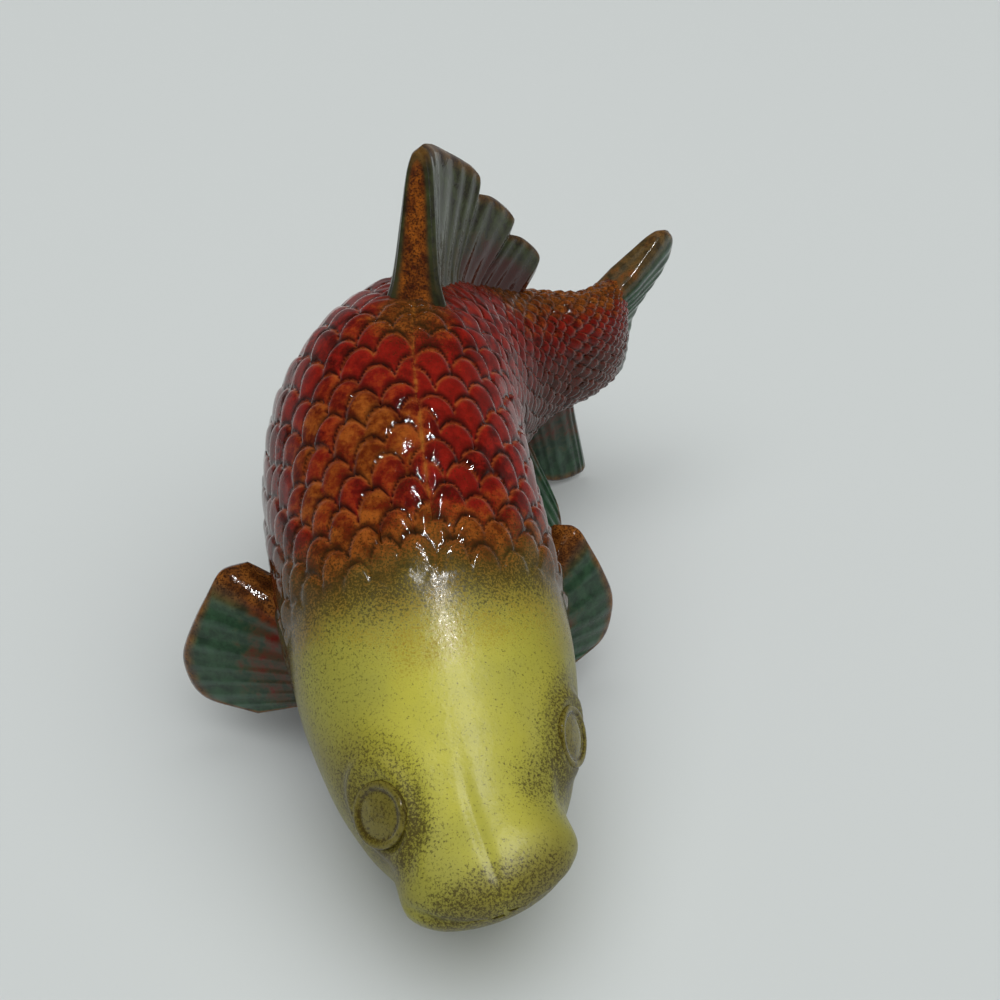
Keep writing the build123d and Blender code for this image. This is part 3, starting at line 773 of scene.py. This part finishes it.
def body_glaze():
    """Glossy coloured glazes brushed over each other on earthenware: crimson and amber on the scales, run
    thin and light on their edges and pooled dark between them, yellow-green with brown specks on the head.
    Painted shade darkens the hollows and the flanks, the flank edges get a painted greyish-pink reflection,
    and the ridge of the head is painted lighter as painted light."""
    material, tree = new_material("crimson_amber_and_yellow_glaze")
    clouds, mottle, specks = glaze_patterns(tree)
    marks = ("head", "lit_ridge", "amber", "flank_shade_and_sheen", "rim", "pooled_glaze_and_shade", "shade", "speckle", "seam", "bare", "root")
    head, lit_ridge, amber, flank_shade_and_sheen, rim, pooled_glaze_and_shade, shade, speckle, seam, bare, root = [
        node(tree, "ShaderNodeAttribute", {}, "Fac", attribute_name=name) for name in marks]
    ran = node(tree, "ShaderNodeMapRange", {0: mottle, 1: 0.35, 2: 0.68}, interpolation_type="SMOOTHSTEP")

    # Scales: crimson that shows dark where it is thick, amber that breaks through it
    red = node(tree, "ShaderNodeMix", {0: shade, 6: colour("#74140C"), 7: colour("#430A06")}, 2,
               data_type="RGBA")
    red = node(tree, "ShaderNodeMix", {0: ran, 6: red, 7: colour("#8A1A10")}, 2, data_type="RGBA")
    gold = node(tree, "ShaderNodeMix", {0: ran, 6: colour("#5C2206"), 7: colour("#9A521A")}, 2,
                data_type="RGBA")
    breaks = node(tree, "ShaderNodeMath", {0: mottle, 1: 0.9, 2: amber}, operation="MULTIPLY_ADD")
    breaks = node(tree, "ShaderNodeMapRange", {0: breaks, 1: 0.62, 2: 1.2}, interpolation_type="SMOOTHSTEP")
    scales = node(tree, "ShaderNodeMix", {0: breaks, 6: red, 7: gold}, 2, data_type="RGBA")
    # Painted shade: the scales turn darker red down the flanks and a little over the rear of the body
    pale = node(tree, "ShaderNodeMix", {0: ran, 6: colour("#300704"), 7: colour("#48130D")}, 2,
                data_type="RGBA")
    flank_shade_share = node(tree, "ShaderNodeMath", {0: flank_shade_and_sheen, 1: 0.75}, operation="MULTIPLY")
    scales = node(tree, "ShaderNodeMix", {0: flank_shade_share, 6: scales, 7: pale}, 2, data_type="RGBA")

    # Edges of the scales, where the glaze ran off, and the hollows, where it pooled and where painted shade
    # darkens them
    # Painted reflection: on the flanks the edges of the scales are painted greyish pink, as a pale sheen
    edge = node(tree, "ShaderNodeMix", {0: flank_shade_and_sheen, 6: colour("#9C5222"), 7: colour("#7C544E")}, 2,
                data_type="RGBA")
    worn = node(tree, "ShaderNodeMapRange", {0: mottle, 1: 0.3, 2: 0.62, 3: 0.2, 4: 0.85})
    worn = node(tree, "ShaderNodeMath", {0: rim, 1: worn}, operation="MULTIPLY")
    scales = node(tree, "ShaderNodeMix", {0: worn, 6: scales, 7: edge}, 2, data_type="RGBA")
    smoothed = node(tree, "ShaderNodeMath", {0: root, 1: 0.6}, operation="MULTIPLY")
    scales = node(tree, "ShaderNodeMix", {0: smoothed, 6: scales, 7: colour("#48281C")}, 2, data_type="RGBA")

    # Head: yellow on the ridge as painted light and olive at the sides as painted shade, in clouds
    yellow = node(tree, "ShaderNodeMix", {0: lit_ridge, 6: colour("#7C7632"), 7: colour("#BAB536")}, 2,
                  data_type="RGBA")
    cloudy = node(tree, "ShaderNodeMapRange", {0: clouds, 1: 0.38, 2: 0.66, 3: 0.0, 4: 0.7})
    yellow = node(tree, "ShaderNodeMix", {0: cloudy, 6: yellow, 7: colour("#96943E")}, 2, data_type="RGBA")
    worn_head = node(tree, "ShaderNodeMath", {0: clouds, 1: 2.4, 2: head}, operation="MULTIPLY_ADD")
    worn_head = node(tree, "ShaderNodeMath", {0: specks, 1: 2.4, 2: worn_head}, operation="MULTIPLY_ADD")
    ochre = node(tree, "ShaderNodeMapRange", {0: worn_head, 1: 1.4, 2: 2.7}, interpolation_type="SMOOTHSTEP")
    skin_colour = node(tree, "ShaderNodeMix", {0: ochre, 6: scales, 7: colour("#84622A")}, 2,
                       data_type="RGBA")
    # Painted shade: the hollows between the scales are painted near black, with the pooled glaze
    skin_colour = node(tree, "ShaderNodeMix", {0: pooled_glaze_and_shade, 6: skin_colour, 7: colour("#200904")}, 2,
                       data_type="RGBA")
    turns = node(tree, "ShaderNodeMapRange", {0: worn_head, 1: 1.9, 2: 3.5}, interpolation_type="SMOOTHSTEP")
    skin_colour = node(tree, "ShaderNodeMix", {0: turns, 6: skin_colour, 7: yellow}, 2, data_type="RGBA")

    # Seam of the mould, where the glaze is thin, and specks of brown oxide
    thin = node(tree, "ShaderNodeMapRange", {0: mottle, 1: 0.42, 2: 0.62, 3: 0.0, 4: 0.8})
    thin = node(tree, "ShaderNodeMath", {0: seam, 1: thin}, operation="MULTIPLY")
    skin_colour = node(tree, "ShaderNodeMix", {0: thin, 6: skin_colour, 7: colour("#A86A28")}, 2,
                       data_type="RGBA")
    brown = node(tree, "ShaderNodeMapRange", {0: speckle, 1: 0.4, 2: 1.0, 3: 0.0, 4: 0.35})
    skin_colour = node(tree, "ShaderNodeMix", {0: brown, 6: skin_colour, 7: colour("#54441A")}, 2,
                       data_type="RGBA")
    dots = node(tree, "ShaderNodeMath", {0: clouds, 1: 0.12, 2: specks}, operation="MULTIPLY_ADD")
    dots = node(tree, "ShaderNodeMath", {0: speckle, 1: 0.25, 2: dots}, operation="MULTIPLY_ADD")
    dots = node(tree, "ShaderNodeMapRange", {0: dots, 1: 0.68, 2: 0.82, 3: 0.0, 4: 0.8})
    skin_colour = node(tree, "ShaderNodeMix", {0: dots, 6: skin_colour, 7: colour("#2E1E08")}, 2,
                       data_type="RGBA")
    skin_colour = node(tree, "ShaderNodeMix", {0: bare, 6: skin_colour, 7: colour("#B79C80")}, 2,
                       data_type="RGBA")
    roughness = node(tree, "ShaderNodeMapRange", {0: turns, 3: 0.06, 4: 0.36})
    roughness = node(tree, "ShaderNodeMath", {0: bare, 1: 0.7, 2: roughness}, operation="MULTIPLY_ADD")
    finish_glaze(tree, skin_colour, mottle, roughness)
    return material


def fin_glaze(name, face, face_dark, streak, band, band_dark, warm_colour):
    """Glossy glaze on a fin, streaked pale along its rays, amber and brown on its thick edge, with the
    body's red run on to it."""
    material, tree = new_material(name)
    clouds, mottle, specks = glaze_patterns(tree)
    marks = ("groove", "band", "warm", "brown")
    groove, strip, warm, brown = [
        node(tree, "ShaderNodeAttribute", {}, "Fac", attribute_name=name) for name in marks]
    ran = node(tree, "ShaderNodeMapRange", {0: mottle, 1: 0.32, 2: 0.68}, interpolation_type="SMOOTHSTEP")
    base = node(tree, "ShaderNodeMix", {0: ran, 6: colour(face_dark), 7: colour(face)}, 2, data_type="RGBA")
    pale = node(tree, "ShaderNodeMath", {0: groove, 1: 0.35, 2: clouds}, operation="MULTIPLY_ADD")
    pale = node(tree, "ShaderNodeMapRange", {0: pale, 1: 0.64, 2: 0.42, 3: 0.0, 4: 0.26})
    base = node(tree, "ShaderNodeMix", {0: pale, 6: base, 7: colour(streak)}, 2, data_type="RGBA")
    red = node(tree, "ShaderNodeMath", {0: mottle, 1: 0.9, 2: warm}, operation="MULTIPLY_ADD")
    red = node(tree, "ShaderNodeMapRange", {0: red, 1: 0.75, 2: 1.2}, interpolation_type="SMOOTHSTEP")
    base = node(tree, "ShaderNodeMix", {0: red, 6: base, 7: colour(warm_colour)}, 2, data_type="RGBA")
    edge = node(tree, "ShaderNodeMix", {0: ran, 6: colour(band_dark), 7: colour(band)}, 2, data_type="RGBA")
    tips = node(tree, "ShaderNodeMath", {0: brown, 1: strip}, operation="MAXIMUM")
    base = node(tree, "ShaderNodeMix", {0: tips, 6: base, 7: edge}, 2, data_type="RGBA")
    dots = node(tree, "ShaderNodeMath", {0: tips, 1: 0.16, 2: specks}, operation="MULTIPLY_ADD")
    dots = node(tree, "ShaderNodeMapRange", {0: dots, 1: 0.62, 2: 0.74, 3: 0.0, 4: 0.85})
    base = node(tree, "ShaderNodeMix", {0: dots, 6: base, 7: colour("#24150A")}, 2, data_type="RGBA")
    finish_glaze(tree, base, mottle, 0.08)
    return material


def eye_glaze():
    """Glossy yellow-green glaze, dabbed with dark brown in the middle and round the ring."""
    material, tree = new_material("dabbed_eye_glaze")
    mottle, specks = glaze_patterns(tree)[1:]
    base = node(tree, "ShaderNodeMix", {0: mottle, 6: colour("#7C7430"), 7: colour("#5A501C")}, 2,
                data_type="RGBA")
    groove = node(tree, "ShaderNodeAttribute", {}, "Fac", attribute_name="groove")
    dots = node(tree, "ShaderNodeMath", {0: mottle, 1: 0.35, 2: specks}, operation="MULTIPLY_ADD")
    dots = node(tree, "ShaderNodeMath", {0: groove, 1: 0.16, 2: dots}, operation="MULTIPLY_ADD")
    dots = node(tree, "ShaderNodeMapRange", {0: dots, 1: 0.66, 2: 0.84, 3: 0.0, 4: 0.85})
    base = node(tree, "ShaderNodeMix", {0: dots, 6: base, 7: colour("#33270C")}, 2, data_type="RGBA")
    finish_glaze(tree, base, mottle, 0.08)
    return material


def floor_finish():
    """Matt pale sheet, for the floor."""
    material, tree = new_material("pale_backdrop")
    shader = node(tree, "ShaderNodeBsdfPrincipled", {"Base Color": colour("#CBD0CF"), "Roughness": 0.95})
    node(tree, "ShaderNodeOutputMaterial", {"Surface": shader})
    return material


# The camera, from the photograph: its place, its tilt and its angle of view. Its lens is as long as its
# sensor is wide, because the photograph's focal length and its width both come to 1000 pixels
CAMERA_PLACE = (6.59 * MM, -192.53 * MM, 145.0 * MM)
CAMERA_TILT = 30.24
camera_data = bpy.data.cameras.new("camera")
camera_data.sensor_width = 36.0
camera_data.lens = 36.0
camera_data.clip_start = 1 * MM
camera = bpy.data.objects.new("camera", camera_data)
camera.location = CAMERA_PLACE
camera.rotation_euler = (math.radians(90 - CAMERA_TILT), 0.0, 0.0)
bpy.context.scene.collection.objects.link(camera)
bpy.context.scene.camera = camera


def place_piece(piece, material, slot, *nodes):
    """Gives a piece its finish and puts it on the fish in place of the nodes that it stands for."""
    piece.data.materials.clear()
    piece.data.materials.append(material)
    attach(piece, "root")
    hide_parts(*nodes)


body = body_glaze()
green = fin_glaze("green_fin_glaze", "#2F4C34", "#1D3222", "#6C8478", "#8C5420", "#4A260E", "#5E120C")
dorsal = fin_glaze("dorsal_fin_glaze", "#363D20", "#221E12", "#505839", "#9A5416", "#42180A", "#3C140C")
eyes = eye_glaze()

place_piece(body_half(1), body, "body_glaze", "body_half_left")
place_piece(body_half(-1), body, "body_glaze", "body_half_right")
place_piece(dorsal_fin(), dorsal, "dorsal_glaze", "dorsal_fin")
place_piece(tail_fin(), green, "fin_glaze", "tail_fin")
for side, word, reach in ((1, "left", PECTORAL_REACH_LEFT), (-1, "right", PECTORAL_REACH_RIGHT)):
    pectoral = paired_fin("fin_pectoral_" + word, side, PECTORAL_RAY_SHARES, PECTORAL_FACE_SHARES,
                          PECTORAL_START_SHARE, PECTORAL_LENGTH, PECTORAL_HEIGHT, reach,
                          PECTORAL_THICKNESS, flutes=10, band=(0.68, 0.82))
    place_piece(pectoral, green, "fin_glaze", "pectoral_fin_" + word)
    pelvic = paired_fin("fin_pelvic_" + word, side, PELVIC_RAY_SHARES, PELVIC_FACE_SHARES,
                        PELVIC_START_SHARE, PELVIC_LENGTH, PELVIC_HEIGHT, PELVIC_REACH,
                        PELVIC_THICKNESS, flutes=7, band=(0.12, 0.0))
    place_piece(pelvic, green, "fin_glaze", "pelvic_fin_" + word)
    place_piece(eye(side), eyes, "eye_glaze", "eye_" + word)
place_piece(anal_fin(), green, "fin_glaze", "anal_fin")

# Floor, wide enough to fill the view up to its top edge, and a little under the foot
FLOOR_HALF = 6.0
FLOOR_DROP = 0.05 * MM
bpy.ops.object.select_all(action="DESELECT")
bpy.ops.mesh.primitive_plane_add(size=2 * FLOOR_HALF, location=(0, 0, -FLOOR_DROP))
floor = bpy.context.object
floor.name = "floor"
floor.data.materials.append(floor_finish())


def lamp(name, tilt, turn, width, strength, glossy):
    """Light from one side of the sky: its tilt from straight down, its turn, its width and its strength.
    One that is glossy only shows as highlights on the glaze, and the other kind only lights the colours."""
    data = bpy.data.lights.new(name, "SUN")
    data.angle = math.radians(width)
    data.energy = strength
    light = bpy.data.objects.new(name, data)
    light.rotation_euler = (math.radians(tilt), 0.0, math.radians(turn))
    light.visible_glossy = glossy
    light.visible_diffuse = not glossy
    bpy.context.scene.collection.objects.link(light)


lamp("soft_overhead", tilt=12, turn=30, width=95, strength=2.9, glossy=False)
lamp("ceiling_lamp", tilt=26, turn=36, width=2.5, strength=0.7, glossy=True)
lamp("far_ceiling_lamp", tilt=15, turn=50, width=2.0, strength=0.4, glossy=True)

# The world is dim overhead, so that the glaze keeps its depth, and paler at the horizon
world = bpy.data.worlds.new("studio")
bpy.context.scene.world = world
world.use_nodes = True
world.node_tree.nodes.clear()
direction = node(world.node_tree, "ShaderNodeTexCoord", {}, "Generated")
height = node(world.node_tree, "ShaderNodeSeparateXYZ", {0: direction}, "Z")
strength = node(world.node_tree, "ShaderNodeMapRange", {0: height, 1: 0.1, 2: 0.6, 3: 0.36, 4: 0.07})
background = node(world.node_tree, "ShaderNodeBackground", {"Color": colour("#E6E8E8"), "Strength": strength})
node(world.node_tree, "ShaderNodeOutputWorld", {"Surface": background})
bpy.context.scene.view_settings.view_transform = "Standard"

# The solids behind the pieces get the glaze of the eyes, of the body or, on every fin, of the green fins
for name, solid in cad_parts.items():
    solid.data.materials.clear()
    solid.data.materials.append(eyes if "eye" in name else body if "half" in name else green)
